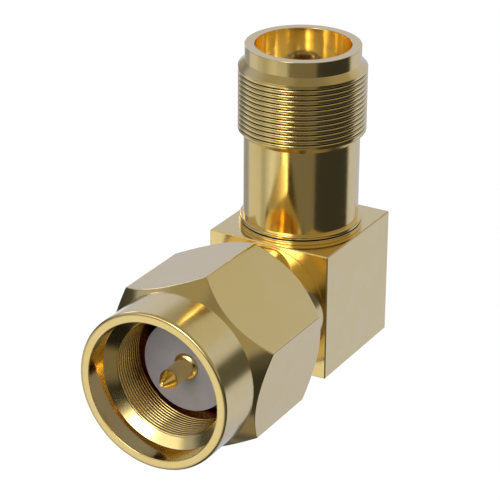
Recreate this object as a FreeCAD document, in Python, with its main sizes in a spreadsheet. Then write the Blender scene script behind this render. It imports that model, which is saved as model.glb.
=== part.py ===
import FreeCAD, Part
import os
import re
import Sketcher

# Right-angle coax adapter, in millimetres. The jack points up along +Z, the plug points along -Y,
# and the origin is the centre of the cube's bottom face. Both legs start at the crossing of
# their axes, which is the cube's centre: a length along a leg is counted from there.

# Driving sizes

SIZES = {
    # cube
    "block_side": 6.5,
    "edge_break": 0.05,
    "line_bore": 4.1,
    "seat_bore": 5.0,
    "seat_land": 0.1,
    "press_gap": 0.01,
    # jack's barrel
    "lip_wall": 0.475,
    "lip_tall": 0.74,
    "thread_step": 0.31,
    "thread_tall": 3.77,
    "neck_step": 0.29,
    "neck_tall": 4.65,
    "mouth_deep": 2.24,
    "web_thick": 0.4,
    "web_insulator_wall": 0.2,
    "bead_foot_step": 0.21,
    "bead_top_step": 0.18,
    "bead_groove_step": 0.08,
    "bead_tall": 0.19,
    "bead_apart": 0.05,
    "bead_round": 0.05,
    # contacts
    "pin_width": 0.94,
    "pin_reach": 2.12,
    "pin_tip_width": 0.24,
    "pin_tip_long": 0.63,
    "pin_shoulder": 0.05,
    "pin_bevel": 0.1,
    "socket_fit": 0.01,
    "socket_wall": 0.155,
    "socket_deep": 2.9,
    "socket_recess": 0.05,
    "socket_slot": 0.15,
    "socket_slot_deep": 2.2,
    "tail_width": 0.6,
    "tail_past": 0.115,
    "rod_apart": 0.165,
    "contact_foot": 0.7,
    # insulators
    "insulator_back": 0.05,
    "insulator_lead": 0.1,
    "insulator_head_step": 0.13,
    "insulator_head_long": 0.45,
    "rear_insulator_gap": 0.15,
    # plug's shell
    "collar_width": 6.3,
    "collar_long": 1.8,
    "collar_edge": 0.08,
    "journal_wall": 0.37,
    "journal_long": 2.86,
    "sleeve_rim": 0.07,
    "sleeve_long": 2.9,
    "mating_gap": 0.075,
    "snap_groove_from": 0.85,
    "snap_groove_long": 0.55,
    "snap_groove_deep": 0.28,
    # coupling nut
    "nut_flats": 8.0,
    "nut_phase": 10.2,
    "nut_end_play": 0.097,
    "nut_run_gap": 0.04,
    "nut_groove_deep": 0.31,
    "nut_wall_past": 0.75,
    "nut_relief_gap": 0.09,
    "nut_relief_cone": 0.3,
    "nut_thread_gap": 0.02,
    "nut_thread_behind": 0.423,
    "nut_thread_long": 1.832,
    "nut_lead_slope": 0.5774,
    "nut_counterbore_gap": 0.278,
    "nut_counterbore_deep": 1.193,
    "nut_nose_step": 0.132,
    "nut_nose_long": 2.45,
    "nut_nose_edge": 0.12,
    "nut_mouth_edge": 0.04,
    "nut_front_slope": 1.265,
    "nut_rear_step": 0.132,
    "nut_rear_slope": 1.157,
    # snap ring and gasket
    "snap_gap": 0.05,
    "snap_ring_opening": 40.0,
    "gasket_long": 0.9,
    "gasket_gap": 0.03,
    "gasket_rim_gap": 0.1,
    "gasket_edge": 0.1,
    # rear cap
    "cap_bore": 5.0,
    "cap_thick": 0.6,
    "cap_edge": 0.1,
}

# Radii, each worked out from the one inside it, so that the pieces keep their fits

LINE_R = "(line_bore / 2)"
ROD_R = f"({LINE_R} - press_gap)"
HEAD_BORE_R = f"({LINE_R} + insulator_head_step)"
SLEEVE_R = f"({HEAD_BORE_R} + sleeve_rim)"
MOUTH_R = f"({SLEEVE_R} + mating_gap)"
LIP_R = f"({MOUTH_R} + lip_wall)"
THREAD_R = f"({LIP_R} + thread_step)"
NECK_R = f"({THREAD_R} - neck_step)"
SEAT_R = "(seat_bore / 2)"
PIN_R = "(pin_width / 2)"
SOCKET_R = f"({PIN_R} + socket_fit)"
CONTACT_R = f"({SOCKET_R} + socket_wall)"
CONTACT_HOLE_R = f"({CONTACT_R} + press_gap)"
WEB_R = f"({CONTACT_HOLE_R} + web_insulator_wall)"
TAIL_R = "(tail_width / 2)"
SNAP_FLOOR_R = f"({LINE_R} + journal_wall)"
JOURNAL_R = f"({SNAP_FLOOR_R} + snap_groove_deep)"
NUT_BORE_R = f"({JOURNAL_R} + nut_run_gap)"
NUT_GROOVE_R = f"({NUT_BORE_R} + nut_groove_deep)"
NUT_RELIEF_R = f"({THREAD_R} + nut_relief_gap)"
NUT_THREAD_R = f"({LIP_R} + nut_thread_gap)"
NUT_MOUTH_R = f"({THREAD_R} + nut_counterbore_gap)"
NUT_NOSE_R = "(nut_flats / 2 - nut_nose_step)"
NUT_REAR_R = "(nut_flats / 2 - nut_rear_step)"
NUT_CORNER_R = "(nut_flats / 2 / cos(30 deg))"
CAP_BORE_R = "(cap_bore / 2)"

# Stations along the legs

FACE = "(block_side / 2)"
SEAT = f"({SEAT_R} + seat_land)"
BEAD_SPLIT = f"({FACE} + bead_tall)"
BEAD_SPLIT_END = f"({BEAD_SPLIT} + bead_apart)"
BEADS_TOP = f"({BEAD_SPLIT_END} + bead_tall)"
THREAD_FOOT = f"({FACE} + neck_tall)"
THREAD_TOP = f"({THREAD_FOOT} + thread_tall)"
LIP_TOP = f"({THREAD_TOP} + lip_tall)"
MOUTH_FLOOR = f"({LIP_TOP} - mouth_deep)"
WEB_BACK = f"({MOUTH_FLOOR} - web_thick)"
SOCKET_TOP = f"({MOUTH_FLOOR} - socket_recess)"
TAIL_END = f"({CONTACT_R} + tail_past)"
ROD_START = f"({CONTACT_R} + rod_apart)"
INSULATOR_START = f"({LINE_R} + insulator_back)"
REAR_INSULATOR_START = f"({TAIL_END} + rear_insulator_gap)"
CAP_SEAT = f"({FACE} - cap_thick)"
COLLAR_END = f"({FACE} + collar_long)"
JOURNAL_END = f"({COLLAR_END} + journal_long)"
PLUG_FACE = f"({JOURNAL_END} + sleeve_long)"
SNAP_START = f"({COLLAR_END} + snap_groove_from)"
SNAP_END = f"({SNAP_START} + snap_groove_long)"
NUT_REAR = f"({COLLAR_END} + nut_end_play)"
NUT_WALL_END = f"({SNAP_END} + nut_wall_past)"
NUT_THREAD_START = f"({PLUG_FACE} - nut_thread_behind)"
NUT_THREAD_END = f"({NUT_THREAD_START} + nut_thread_long)"
NUT_LEAD_END = f"({NUT_THREAD_END} + nut_lead_slope * ({NUT_MOUTH_R} - {NUT_THREAD_R}))"
NUT_FRONT = f"({NUT_LEAD_END} + nut_counterbore_deep)"
NUT_NOSE_START = f"({NUT_FRONT} - nut_nose_long)"

UP = FreeCAD.Rotation(FreeCAD.Vector(1, 0, 0), 0)
FORWARD = FreeCAD.Rotation(FreeCAD.Vector(1, 0, 0), 90)
BACKWARD = FreeCAD.Rotation(FreeCAD.Vector(1, 0, 0), -90)

doc = FreeCAD.newDocument("coax_adapter")
sheet = doc.addObject("Spreadsheet::Sheet", "sizes")


def fill_sheet():
    for row, (name, value) in enumerate(SIZES.items(), start=1):
        sheet.set(f"A{row}", name)
        sheet.set(f"B{row}", str(value))
        sheet.setAlias(f"B{row}", name)
    doc.recompute()


def tied(formula):
    """The formula with every size read from the sheet."""
    return re.sub(r"[a-z]+(?:_[a-z]+)+", lambda found: f"sizes.{found.group(0)}", formula)


def value_of(formula):
    """The formula's present value."""
    number = sheet.evalExpression(tied(formula))
    return float(getattr(number, "Value", number))


def new_body(label, direction):
    """A body whose own z axis starts at the crossing of the axes and runs along one leg."""
    body = doc.addObject("PartDesign::Body", label)
    body.Label = label
    body.Placement = FreeCAD.Placement(FreeCAD.Vector(0, 0, 0), direction)
    body.setExpression("Placement.Base.z", tied(FACE))
    return body


def plane_of(body, role):
    return next(item for item in body.Origin.OriginFeatures if item.Role == role)


def new_sketch(body, name, role, height=None):
    """An empty sketch on one of the body's own planes, raised by a height where one is given."""
    sketch = body.newObject("Sketcher::SketchObject", f"{body.Label}_{name}")
    sketch.AttachmentSupport = [(plane_of(body, role), "")]
    sketch.MapMode = "FlatFace"
    if height:
        sketch.setExpression("AttachmentOffset.Base.z", tied(height))
    return sketch


def draw_outline(sketch, corners):
    """A closed outline of straight lines, each corner held by its two sizes."""
    places = [FreeCAD.Vector(value_of(across), value_of(along), 0) for across, along in corners]
    count = len(places)
    for here in range(count):
        sketch.addGeometry(Part.LineSegment(places[here], places[(here + 1) % count]), False)
    for here in range(count):
        sketch.addConstraint(Sketcher.Constraint("Coincident", here, 2, (here + 1) % count, 1))
    for here, (across, along) in enumerate(corners):
        for kind, formula, axis, now in (
            ("DistanceX", across, -2, places[here].x),
            ("DistanceY", along, -1, places[here].y),
        ):
            if formula == "0":
                sketch.addConstraint(Sketcher.Constraint("PointOnObject", here, 1, axis))
            else:
                held = sketch.addConstraint(Sketcher.Constraint(kind, -1, 1, here, 1, now))
                sketch.setExpression(f"Constraints[{held}]", tied(formula))


def turn(body, kind, name, corners, role="XZ_Plane", axis="V_Axis"):
    """A revolved solid or cut from an outline of (radius, station) corners."""
    sketch = new_sketch(body, f"{name}_outline", role)
    draw_outline(sketch, corners)
    feature = body.newObject(f"PartDesign::{kind}", f"{body.Label}_{name}")
    feature.Profile = sketch
    feature.ReferenceAxis = (sketch, [axis])
    feature.Angle = 360
    doc.recompute()
    return feature


def block():
    """The cube, bored from the top for the jack, from the front for the plug and from the back."""
    body = new_body("body_block", UP)
    square = new_sketch(body, "square", "XY_Plane", f"-{FACE}")
    draw_outline(square, [(f"-{FACE}", f"-{FACE}"), (FACE, f"-{FACE}"), (FACE, FACE), (f"-{FACE}", FACE)])
    cube = body.newObject("PartDesign::Pad", "body_block_cube")
    cube.Profile = square
    cube.setExpression("Length", tied("block_side"))
    doc.recompute()
    broken = body.newObject("PartDesign::Chamfer", "body_block_edges")
    broken.Base = (cube, [f"Edge{number}" for number in range(1, len(cube.Shape.Edges) + 1)])
    broken.setExpression("Size", tied("edge_break"))
    doc.recompute()
    turn(body, "Groove", "jack_bore", [
        ("0", f"-{LINE_R}"),
        (LINE_R, f"-{LINE_R}"),
        (LINE_R, SEAT),
        (SEAT_R, SEAT),
        (SEAT_R, FACE),
        ("0", FACE),
    ])
    # this bore lies along Y, so its corners are (station, radius)
    turn(body, "Groove", "plug_bore", [
        (f"-{FACE}", "0"),
        (f"-{FACE}", SEAT_R),
        (f"-{SEAT}", SEAT_R),
        (f"-{SEAT}", LINE_R),
        (CAP_SEAT, LINE_R),
        (CAP_SEAT, CAP_BORE_R),
        (FACE, CAP_BORE_R),
        (FACE, "0"),
    ], role="YZ_Plane", axis="H_Axis")
    return body


def jack_barrel():
    """The jack's barrel: spigot, beads, neck, thread, lip, and a mouth whose floor is a thin web."""
    body = new_body("jack_barrel", UP)
    spigot = f"({SEAT_R} - press_gap)"
    foot = f"({NECK_R} + bead_foot_step)"
    top = f"({NECK_R} + bead_top_step)"
    groove = f"({NECK_R} + bead_groove_step)"
    turn(body, "Revolution", "barrel", [
        (LINE_R, SEAT),
        (f"{spigot} - edge_break", SEAT),
        (spigot, f"{SEAT} + edge_break"),
        (spigot, FACE),
        (foot, FACE),
        (foot, f"{BEAD_SPLIT} - bead_round"),
        (f"{foot} - bead_round", BEAD_SPLIT),
        (groove, BEAD_SPLIT),
        (groove, BEAD_SPLIT_END),
        (f"{top} - bead_round", BEAD_SPLIT_END),
        (top, f"{BEAD_SPLIT_END} + bead_round"),
        (top, f"{BEADS_TOP} - bead_round"),
        (f"{top} - bead_round", BEADS_TOP),
        (NECK_R, BEADS_TOP),
        (NECK_R, THREAD_FOOT),
        (THREAD_R, f"{THREAD_FOOT} + neck_step"),
        (THREAD_R, f"{THREAD_TOP} - thread_step"),
        (LIP_R, THREAD_TOP),
        (LIP_R, f"{LIP_TOP} - edge_break"),
        (f"{LIP_R} - edge_break", LIP_TOP),
        (f"{MOUTH_R} + edge_break", LIP_TOP),
        (MOUTH_R, f"{LIP_TOP} - edge_break"),
        (MOUTH_R, MOUTH_FLOOR),
        (WEB_R, MOUTH_FLOOR),
        (WEB_R, WEB_BACK),
        (LINE_R, WEB_BACK),
    ])
    return body


def jack_insulator():
    """The dielectric rod of the jack. Its neck fills the hole in the floor of the mouth."""
    body = new_body("jack_insulator", UP)
    turn(body, "Revolution", "rod", [
        (CONTACT_HOLE_R, INSULATOR_START),
        (f"{ROD_R} - insulator_lead", INSULATOR_START),
        (ROD_R, f"{INSULATOR_START} + insulator_lead"),
        (ROD_R, WEB_BACK),
        (f"{WEB_R} - press_gap", WEB_BACK),
        (f"{WEB_R} - press_gap", MOUTH_FLOOR),
        (CONTACT_HOLE_R, MOUTH_FLOOR),
    ])
    return body


def jack_contact():
    """The jack's contact: a slotted socket on top, and a foot with a cross hole for the pin's tail."""
    body = new_body("jack_contact", UP)
    turn(body, "Revolution", "rod", [
        ("0", "-contact_foot"),
        (f"{CONTACT_R} - edge_break", "-contact_foot"),
        (CONTACT_R, "-contact_foot + edge_break"),
        (CONTACT_R, f"{SOCKET_TOP} - edge_break"),
        (f"{CONTACT_R} - edge_break", SOCKET_TOP),
        (f"{SOCKET_R} + edge_break", SOCKET_TOP),
        (SOCKET_R, f"{SOCKET_TOP} - edge_break"),
        (SOCKET_R, f"{SOCKET_TOP} - socket_deep"),
        ("0", f"{SOCKET_TOP} - socket_deep - {SOCKET_R} / 2"),
    ])
    turn(body, "Groove", "cross_hole", [
        (f"-{CONTACT_R}", "0"),
        (f"-{CONTACT_R}", f"{TAIL_R} + press_gap"),
        (CONTACT_R, f"{TAIL_R} + press_gap"),
        (CONTACT_R, "0"),
    ], role="YZ_Plane", axis="H_Axis")
    slot_outline = new_sketch(body, "slot_outline", "XY_Plane", SOCKET_TOP)
    side = "(socket_slot / 2)"
    draw_outline(slot_outline, [
        (f"-{CONTACT_R}", f"-{side}"),
        (CONTACT_R, f"-{side}"),
        (CONTACT_R, side),
        (f"-{CONTACT_R}", side),
    ])
    one_slot = body.newObject("PartDesign::Pocket", "jack_contact_slot")
    one_slot.Profile = slot_outline
    one_slot.setExpression("Length", tied("socket_slot_deep"))
    doc.recompute()
    slots = body.newObject("PartDesign::PolarPattern", "jack_contact_slots")
    slots.Originals = [one_slot]
    slots.Axis = (slot_outline, ["N_Axis"])
    slots.Angle = 90
    slots.Occurrences = 2
    body.Tip = slots
    doc.recompute()
    return body


def plug_shell():
    """The plug's outer contact: spigot, collar, journal for the nut with its ring groove, and sleeve."""
    body = new_body("plug_shell", FORWARD)
    spigot = f"({SEAT_R} - press_gap)"
    collar = "(collar_width / 2)"
    turn(body, "Revolution", "shell", [
        (LINE_R, SEAT),
        (f"{spigot} - edge_break", SEAT),
        (spigot, f"{SEAT} + edge_break"),
        (spigot, FACE),
        (collar, FACE),
        (collar, f"{COLLAR_END} - collar_edge"),
        (f"{collar} - collar_edge", COLLAR_END),
        (JOURNAL_R, COLLAR_END),
        (JOURNAL_R, SNAP_START),
        (SNAP_FLOOR_R, SNAP_START),
        (SNAP_FLOOR_R, SNAP_END),
        (JOURNAL_R, SNAP_END),
        (JOURNAL_R, JOURNAL_END),
        (SLEEVE_R, JOURNAL_END),
        (SLEEVE_R, f"{PLUG_FACE} - edge_break"),
        (HEAD_BORE_R, PLUG_FACE),
        (HEAD_BORE_R, f"{PLUG_FACE} - insulator_head_long"),
        (LINE_R, f"{PLUG_FACE} - insulator_head_long"),
    ])
    return body


def plug_insulator():
    """The dielectric of the plug: a rod with a head that fills the sleeve's mouth."""
    body = new_body("plug_insulator", FORWARD)
    head = f"({HEAD_BORE_R} - press_gap)"
    turn(body, "Revolution", "rod", [
        (CONTACT_HOLE_R, INSULATOR_START),
        (f"{ROD_R} - insulator_lead", INSULATOR_START),
        (ROD_R, f"{INSULATOR_START} + insulator_lead"),
        (ROD_R, f"{PLUG_FACE} - insulator_head_long"),
        (head, f"{PLUG_FACE} - insulator_head_long"),
        (head, PLUG_FACE),
        (CONTACT_HOLE_R, PLUG_FACE),
    ])
    return body


def plug_contact():
    """The plug's contact: pin with a blunt cone, rod, and the tail that crosses the jack's contact."""
    body = new_body("plug_contact", FORWARD)
    shoulder = f"({PLUG_FACE} + pin_shoulder)"
    tip = f"({PLUG_FACE} + pin_reach)"
    turn(body, "Revolution", "rod", [
        ("0", f"-{TAIL_END}"),
        (f"{TAIL_R} - edge_break", f"-{TAIL_END}"),
        (TAIL_R, f"-{TAIL_END} + edge_break"),
        (TAIL_R, ROD_START),
        (CONTACT_R, ROD_START),
        (CONTACT_R, shoulder),
        (PIN_R, f"{shoulder} + pin_bevel"),
        (PIN_R, f"{tip} - pin_tip_long"),
        ("(pin_tip_width / 2)", tip),
        ("0", tip),
    ])
    return body


def coupling_nut():
    """The hex nut: a hex bar, turned down to the nose, chamfered at both ends and bored."""
    body = new_body("coupling_nut", FORWARD)
    hexagon = new_sketch(body, "hexagon", "XY_Plane", NUT_REAR)
    # the first corner lies nut_phase degrees from the top
    angles = [f"(nut_phase * 1 deg + {60 * number} deg)" for number in range(6)]
    draw_outline(hexagon, [
        (f"{NUT_CORNER_R} * sin{angle}", f"{NUT_CORNER_R} * cos{angle}") for angle in angles
    ])
    bar = body.newObject("PartDesign::Pad", "coupling_nut_bar")
    bar.Profile = hexagon
    bar.setExpression("Length", tied(f"{NUT_FRONT} - {NUT_REAR}"))
    doc.recompute()
    outside = f"({NUT_CORNER_R} + edge_break)"
    turn(body, "Groove", "nose", [
        (f"{NUT_NOSE_R} - nut_nose_edge", NUT_FRONT),
        (NUT_NOSE_R, f"{NUT_FRONT} - nut_nose_edge"),
        (NUT_NOSE_R, NUT_NOSE_START),
        (outside, f"{NUT_NOSE_START} - nut_front_slope * ({outside} - {NUT_NOSE_R})"),
        (outside, NUT_FRONT),
    ])
    turn(body, "Groove", "rear_chamfer", [
        (NUT_REAR_R, NUT_REAR),
        (outside, NUT_REAR),
        (outside, f"{NUT_REAR} + nut_rear_slope * ({outside} - {NUT_REAR_R})"),
    ])
    turn(body, "Groove", "bore", [
        ("0", NUT_REAR),
        (f"{NUT_BORE_R} + edge_break", NUT_REAR),
        (NUT_BORE_R, f"{NUT_REAR} + edge_break"),
        (NUT_BORE_R, SNAP_START),
        (NUT_GROOVE_R, SNAP_START),
        (NUT_GROOVE_R, SNAP_END),
        (NUT_BORE_R, SNAP_END),
        (NUT_BORE_R, NUT_WALL_END),
        (NUT_RELIEF_R, NUT_WALL_END),
        (NUT_RELIEF_R, f"{NUT_THREAD_START} - nut_relief_cone"),
        (NUT_THREAD_R, NUT_THREAD_START),
        (NUT_THREAD_R, NUT_THREAD_END),
        (NUT_MOUTH_R, NUT_LEAD_END),
        (NUT_MOUTH_R, f"{NUT_FRONT} - nut_mouth_edge"),
        (f"{NUT_MOUTH_R} + nut_mouth_edge", NUT_FRONT),
        ("0", NUT_FRONT),
    ])
    return body


def snap_ring():
    """The split ring that stands in the grooves of the shell and the nut."""
    body = new_body("snap_ring", FORWARD)
    inner = f"({SNAP_FLOOR_R} + snap_gap)"
    outer = f"({NUT_GROOVE_R} - snap_gap)"
    ring = turn(body, "Revolution", "wire", [
        (inner, f"{SNAP_START} + snap_gap"),
        (outer, f"{SNAP_START} + snap_gap"),
        (outer, f"{SNAP_END} - snap_gap"),
        (inner, f"{SNAP_END} - snap_gap"),
    ])
    ring.setExpression("Angle", tied("360 deg - snap_ring_opening * 1 deg"))
    doc.recompute()
    return body


def gasket():
    """The seal that a mating jack's lip presses on, with its edges eased."""
    body = new_body("gasket", FORWARD)
    inner = f"({SLEEVE_R} + gasket_gap)"
    outer = f"({NUT_RELIEF_R} - gasket_rim_gap)"
    front = f"({JOURNAL_END} + gasket_long)"
    turn(body, "Revolution", "ring", [
        (f"{inner} + gasket_edge", JOURNAL_END),
        (f"{outer} - gasket_edge", JOURNAL_END),
        (outer, f"{JOURNAL_END} + gasket_edge"),
        (outer, f"{front} - gasket_edge"),
        (f"{outer} - gasket_edge", front),
        (f"{inner} + gasket_edge", front),
        (inner, f"{front} - gasket_edge"),
        (inner, f"{JOURNAL_END} + gasket_edge"),
    ])
    return body


def rear_insulator():
    """The dielectric plug between the crossing of the contacts and the cap."""
    body = new_body("rear_insulator", BACKWARD)
    turn(body, "Revolution", "plug", [
        ("0", REAR_INSULATOR_START),
        (f"{ROD_R} - insulator_lead", REAR_INSULATOR_START),
        (ROD_R, f"{REAR_INSULATOR_START} + insulator_lead"),
        (ROD_R, CAP_SEAT),
        ("0", CAP_SEAT),
    ])
    return body


def rear_cap():
    """The cap pressed into the back of the cube, level with its face."""
    body = new_body("rear_cap", BACKWARD)
    rim = f"({CAP_BORE_R} - press_gap)"
    turn(body, "Revolution", "disc", [
        ("0", CAP_SEAT),
        (rim, CAP_SEAT),
        (rim, f"{FACE} - cap_edge"),
        (f"{rim} - cap_edge", FACE),
        ("0", FACE),
    ])
    return body


def check(bodies):
    """Stop if any object failed or any piece isn't one valid solid."""
    for item in doc.Objects:
        if "Invalid" in item.State or "Error" in item.State:
            raise RuntimeError(f"{item.Name} failed: {item.State}")
    for body in bodies:
        shape = body.Shape
        if shape.isNull() or not shape.isValid() or len(shape.Solids) != 1:
            raise RuntimeError(f"{body.Label} is not one valid solid")


def main():
    fill_sheet()
    bodies = [
        block(),
        jack_barrel(),
        jack_insulator(),
        jack_contact(),
        plug_shell(),
        plug_insulator(),
        plug_contact(),
        coupling_nut(),
        snap_ring(),
        gasket(),
        rear_insulator(),
        rear_cap(),
    ]
    doc.recompute()
    check(bodies)
    os.makedirs("parts", exist_ok=True)
    for body in bodies:
        body.Shape.exportStep(f"parts/{body.Label}.step")
        box = body.Shape.BoundBox
        print(f"{body.Label}: volume {body.Shape.Volume:.3f} mm3, y {box.YMin:.3f} to {box.YMax:.3f},"
              f" z {box.ZMin:.3f} to {box.ZMax:.3f}")


main()
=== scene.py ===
import math

import bmesh
import bpy
from bpy.props import FloatProperty, FloatVectorProperty, IntProperty, PointerProperty
from mathutils import Matrix, Vector


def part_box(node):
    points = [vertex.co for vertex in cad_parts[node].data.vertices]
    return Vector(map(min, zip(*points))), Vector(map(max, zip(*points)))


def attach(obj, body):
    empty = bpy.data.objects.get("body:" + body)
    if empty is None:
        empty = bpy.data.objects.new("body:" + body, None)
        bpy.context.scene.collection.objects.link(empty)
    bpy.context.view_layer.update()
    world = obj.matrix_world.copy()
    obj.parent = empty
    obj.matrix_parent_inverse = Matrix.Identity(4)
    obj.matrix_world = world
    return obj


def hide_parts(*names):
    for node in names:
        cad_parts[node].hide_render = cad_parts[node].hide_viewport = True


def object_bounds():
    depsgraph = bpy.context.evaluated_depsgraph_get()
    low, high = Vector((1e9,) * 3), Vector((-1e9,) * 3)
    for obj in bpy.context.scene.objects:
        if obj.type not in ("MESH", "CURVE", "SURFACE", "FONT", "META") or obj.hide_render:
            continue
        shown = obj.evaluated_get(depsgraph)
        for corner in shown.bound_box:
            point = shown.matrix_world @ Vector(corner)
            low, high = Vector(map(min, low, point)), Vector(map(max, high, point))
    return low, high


bl_info = {
    "name": "Right-angle coax adapter",
    "version": (1, 0, 0),
    "blender": (4, 5, 0),
    "location": "3D View > Sidebar > Adapter",
    "description": "Dresses the packed solids of a gold plated right-angle coax adapter",
    "category": "Object",
}

# The adapter stands as in its CAD frame: the jack points up, the plug points along -Y. Both legs
# start at the crossing of their axes, so a station along a leg is counted from there.

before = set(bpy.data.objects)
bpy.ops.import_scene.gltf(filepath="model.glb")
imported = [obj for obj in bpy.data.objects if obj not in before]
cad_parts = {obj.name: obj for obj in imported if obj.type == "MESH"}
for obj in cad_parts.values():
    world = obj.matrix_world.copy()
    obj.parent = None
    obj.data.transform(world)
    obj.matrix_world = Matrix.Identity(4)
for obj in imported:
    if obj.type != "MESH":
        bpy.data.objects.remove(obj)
CAD_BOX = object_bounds()

MM = 0.001
BEADS_APART = 0.05 * MM
FULL_TURN = 2 * math.pi
SHARP_ANGLE = math.radians(34)

BLOCK_LOW, BLOCK_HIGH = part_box("body_block")
BARREL_LOW, BARREL_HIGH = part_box("jack_barrel")
SHELL_LOW, SHELL_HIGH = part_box("plug_shell")
PIN_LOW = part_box("plug_contact")[0]
NUT_LOW, NUT_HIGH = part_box("coupling_nut")
CROSSING = (BLOCK_LOW[2] + BLOCK_HIGH[2]) / 2


def length(name, description, default):
    """A length that a user can change, in metres."""
    return FloatProperty(
        name=name,
        description=description,
        default=default,
        min=0.0,
        precision=5,
        subtype="DISTANCE",
        unit="LENGTH",
    )


def angle(name, description, degrees):
    """An angle that a user can change."""
    return FloatProperty(
        name=name,
        description=description,
        default=math.radians(degrees),
        subtype="ANGLE",
        unit="ROTATION",
    )


def factor(name, description, default):
    """A share between 0 and 1 that a user can change."""
    return FloatProperty(
        name=name,
        description=description,
        default=default,
        min=0.0,
        max=1.0,
        subtype="FACTOR",
    )


def colour(name, description, default):
    """A colour that a user can change."""
    return FloatVectorProperty(
        name=name,
        description=description,
        default=default,
        min=0.0,
        max=1.0,
        size=3,
        subtype="COLOR",
    )


class AdapterCore(bpy.types.PropertyGroup):
    """Sizes that both legs share."""

    side: length("Cube side", "Side of the cube that carries both legs", BLOCK_HIGH[0] - BLOCK_LOW[0])
    line: length("Line radius", "Inside radius of both outer contacts", 2.05 * MM)
    spigot: length("Spigot radius", "Radius of the part of a leg that is pressed into the cube", 2.49 * MM)
    seat: length("Seat", "Station where a spigot ends in the cube", 2.6 * MM)
    contact: length("Contact radius", "Radius of both centre contacts", 0.635 * MM)
    press: length("Press gap", "Gap between two pieces that are pressed together", 0.01 * MM)
    ease: length("Eased edge", "Size of the rounding on a turned edge", 0.04 * MM)


class AdapterJack(bpy.types.PropertyGroup):
    """Sizes of the jack."""

    top: length("Top", "Station of the lip's top", BARREL_HIGH[2] - CROSSING)
    thread: length("Thread radius", "Radius over the crests", (BARREL_HIGH[0] - BARREL_LOW[0]) / 2)
    lip: length("Lip radius", "Outside radius of the plain lip", 2.8 * MM)
    lip_tall: length("Lip height", "Height of the plain lip", 0.74 * MM)
    mouth: length("Mouth radius", "Inside radius of the mouth", 2.325 * MM)
    mouth_deep: length("Mouth depth", "Depth of the mouth", 2.24 * MM)
    web: length("Web radius", "Radius of the hole in the mouth's floor", 0.845 * MM)
    web_thick: length("Web thickness", "Thickness of the mouth's floor", 0.4 * MM)
    neck: length("Neck radius", "Radius of the plain neck", 2.82 * MM)
    neck_top: length("Neck top", "Station where the neck meets the thread's foot", 7.9 * MM)
    bead: length("Bead radius", "Radius of the lower bead at the foot", 3.03 * MM)
    bead_tall: length("Bead height", "Height of each bead", 0.19 * MM)
    pitch: length("Pitch", "Distance between two turns of the thread", 0.25 * MM)
    groove: length("Groove depth", "Depth of the thread's grooves", 0.095 * MM)


class AdapterPlug(bpy.types.PropertyGroup):
    """Sizes of the plug, apart from its nut."""

    face: length("Face", "Station of the plug's face", -SHELL_LOW[1])
    sleeve: length("Sleeve radius", "Outside radius of the sleeve that enters a jack", 2.25 * MM)
    head: length("Head radius", "Radius of the dielectric's head", 2.17 * MM)
    head_long: length("Head length", "Length of the dielectric's head", 0.45 * MM)
    flange: length("Flange radius", "Radius of the thin flange in front of the sleeve", 2.238 * MM)
    flange_thick: length("Flange thickness", "Thickness of that flange", 0.06 * MM)
    journal: length("Journal radius", "Radius on which the nut turns", 2.7 * MM)
    journal_end: length("Journal end", "Station where the journal steps down to the sleeve", 7.91 * MM)
    collar: length("Collar radius", "Radius of the collar", (SHELL_HIGH[0] - SHELL_LOW[0]) / 2)
    collar_end: length("Collar end", "Station of the collar's end", 5.05 * MM)
    ring_start: length("Ring groove", "Station where the groove of the snap ring starts", 5.9 * MM)
    ring_long: length("Ring groove length", "Length of that groove", 0.55 * MM)
    ring_floor: length("Ring floor", "Radius of that groove's floor in the shell", 2.42 * MM)
    pin: length("Pin radius", "Radius of the centre pin", 0.47 * MM)
    pin_end: length("Pin end", "Station of the pin's tip", -PIN_LOW[1])
    tip: length("Tip radius", "Radius of the pin's blunt tip", 0.12 * MM)
    cone: length("Cone length", "Length of the pin's cone", 0.63 * MM)
    seal: length("Gasket length", "Length of the gasket", 0.9 * MM)


class AdapterNut(bpy.types.PropertyGroup):
    """Sizes of the coupling nut."""

    flats: length("Across flats", "Width over two flats", 8.0 * MM)
    phase: angle("Corner", "Angle of the first corner from the top", 10.2)
    corner: length("Corner rounding", "Radius of the rounding on the six long edges", 0.06 * MM)
    rear: length("Rear", "Station of the rear face", -NUT_HIGH[1])
    front: length("Front", "Station of the front face", -NUT_LOW[1])
    nose: length("Nose radius", "Radius of the round nose", 3.868 * MM)
    nose_long: length("Nose length", "Length of the round nose", 2.45 * MM)
    mouth: length("Mouth radius", "Radius of the counterbore", 3.388 * MM)
    mouth_deep: length("Mouth depth", "Depth of the counterbore", 1.193 * MM)
    thread: length("Thread radius", "Radius inside the crests", 2.82 * MM)
    thread_start: length("Thread start", "Station of the deep end of the thread", 10.387 * MM)
    lead: length("Lead-in", "Length of the cone that leads into the thread", 0.328 * MM)
    pitch: length("Pitch", "Distance between two turns of the thread", 0.178 * MM)
    groove: length("Groove depth", "Depth of the thread's grooves", 0.1 * MM)
    bore: length("Bore radius", "Radius of the bore that runs on the journal", 2.74 * MM)
    wall_end: length("Bore end", "Station where the bore opens into the relief", 7.2 * MM)
    relief: length("Relief radius", "Radius of the relief behind the thread", 3.2 * MM)


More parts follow.
